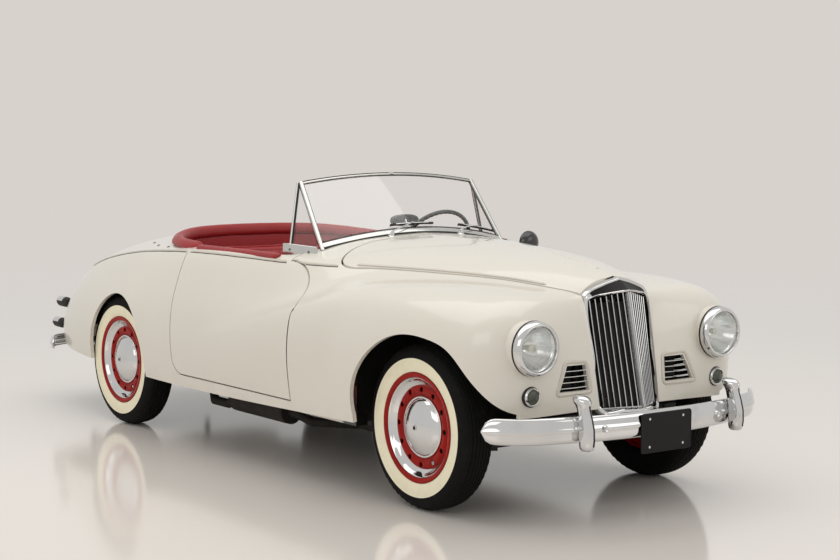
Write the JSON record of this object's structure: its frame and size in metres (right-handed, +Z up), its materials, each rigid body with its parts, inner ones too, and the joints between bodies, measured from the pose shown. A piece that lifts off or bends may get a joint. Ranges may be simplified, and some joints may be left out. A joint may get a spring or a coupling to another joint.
{
  "type": "1950s convertible car",
  "caption": "Open two-seat car with rounded wings, an upright pointed grille, a curved windscreen, opening doors, bonnet and boot lid, and wheels that roll and steer.",
  "frame": {"origin": "on the floor, under the middle of the car", "axes": "+X forwards, +Y to the car's left, +Z up"},
  "size_m": [4.28, 1.555, 1.3087],
  "materials": {
    "ivory_paint": "gloss",
    "chrome": "polished",
    "red_leather": "satin",
    "black_metal": "satin",
    "grey_steel": "satin",
    "cast_iron": "rough",
    "red_wheel": "gloss",
    "tyre": "matte",
    "clear_glass": "clear",
    "black_plastic": "gloss",
    "plate_black": "satin"
  },
  "bodies": {
    "car_body": {"chassis_frame": "black_metal", "cockpit_roll": "red_leather", "dashboard": "red_leather", "driveline": "cast_iron", "engine_block": "cast_iron", "exhaust_system": "grey_steel", "floor_pan": "black_metal", "front_body": "ivory_paint", "front_bumper": "chrome", "front_suspension": "black_metal", "fuel_tank": "black_metal", "grille_bars": "chrome", "grille_surround": "chrome", "headlamp_lenses": "clear_glass", "headlamps": "chrome", "mirrors": "black_plastic", "number_plates": "plate_black", "radiator": "black_metal", "rear_axle": "black_metal", "rear_body": "ivory_paint", "rear_bumper": "chrome", "seat_backs": "red_leather", "seat_cushions": "red_leather", "sills_and_posts": "black_metal", "small_lamps": "chrome", "steering_column": "black_metal", "windscreen_frame": "chrome", "windscreen_glass": "clear_glass"},
    "door_right_body": {"door_right": "ivory_paint", "door_roll_right": "red_leather"},
    "door_left_body": {"door_left": "ivory_paint", "door_roll_left": "red_leather"},
    "bonnet_body": {"bonnet": "ivory_paint"},
    "boot_lid_body": {"boot_lid": "ivory_paint"},
    "steering_wheel_body": {"steering_wheel": "black_plastic"},
    "knuckle_right_body": {"knuckle_right": "cast_iron"},
    "knuckle_left_body": {"knuckle_left": "cast_iron"},
    "wheel_front_right_body": {"wheel_front_right": "red_wheel", "tyre_front_right": "tyre"},
    "wheel_front_left_body": {"wheel_front_left": "red_wheel", "tyre_front_left": "tyre"},
    "wheel_rear_right_body": {"wheel_rear_right": "red_wheel", "tyre_rear_right": "tyre"},
    "wheel_rear_left_body": {"wheel_rear_left": "red_wheel", "tyre_rear_left": "tyre"}
  },
  "joints": [
    {"name": "door_right_hinge", "type": "hinge", "parent": "car_body", "child": "door_right_body", "pos_m": [0.65, -0.732, 0.6], "axis": [0, 0, 1], "range_deg": [0, 65]},
    {"name": "door_left_hinge", "type": "hinge", "parent": "car_body", "child": "door_left_body", "pos_m": [0.65, 0.732, 0.6], "axis": [0, 0, -1], "range_deg": [0, 65]},
    {"name": "bonnet_hinge", "type": "hinge", "parent": "car_body", "child": "bonnet_body", "pos_m": [0.5253, 0, 1.0087], "axis": [0, -1, 0], "range_deg": [0, 50]},
    {"name": "boot_lid_hinge", "type": "hinge", "parent": "car_body", "child": "boot_lid_body", "pos_m": [-1.4266, 0, 0.8957], "axis": [0, 1, 0], "range_deg": [0, 60]},
    {"name": "steering_right", "type": "hinge", "parent": "car_body", "child": "knuckle_right_body", "pos_m": [1.4, -0.54, 0.331], "axis": [0, 0, 1], "range_deg": [-30, 30]},
    {"name": "steering_left", "type": "hinge", "parent": "car_body", "child": "knuckle_left_body", "pos_m": [1.4, 0.54, 0.331], "axis": [0, 0, 1], "range_deg": [-30, 30]},
    {"name": "steering_wheel_turn", "type": "hinge", "parent": "car_body", "child": "steering_wheel_body", "pos_m": [0.1501, 0.35, 0.934], "axis": [-0.866, 0, 0.5], "range_deg": [-420, 420]},
    {"name": "wheel_front_right_spin", "type": "hinge", "parent": "knuckle_right_body", "child": "wheel_front_right_body", "pos_m": [1.4, -0.603, 0.331], "axis": [0, 1, 0], "continuous": true},
    {"name": "wheel_front_left_spin", "type": "hinge", "parent": "knuckle_left_body", "child": "wheel_front_left_body", "pos_m": [1.4, 0.603, 0.331], "axis": [0, 1, 0], "continuous": true},
    {"name": "wheel_rear_right_spin", "type": "hinge", "parent": "car_body", "child": "wheel_rear_right_body", "pos_m": [-1.076, -0.6415, 0.331], "axis": [0, 1, 0], "continuous": true},
    {"name": "wheel_rear_left_spin", "type": "hinge", "parent": "car_body", "child": "wheel_rear_left_body", "pos_m": [-1.076, 0.6415, 0.331], "axis": [0, 1, 0], "continuous": true}
  ],
  "couplings": [
    {"joint": "steering_left", "follows": "steering_right", "ratio": 1},
    {"joint": "steering_wheel_turn", "follows": "steering_right", "ratio": 14}
  ]
}
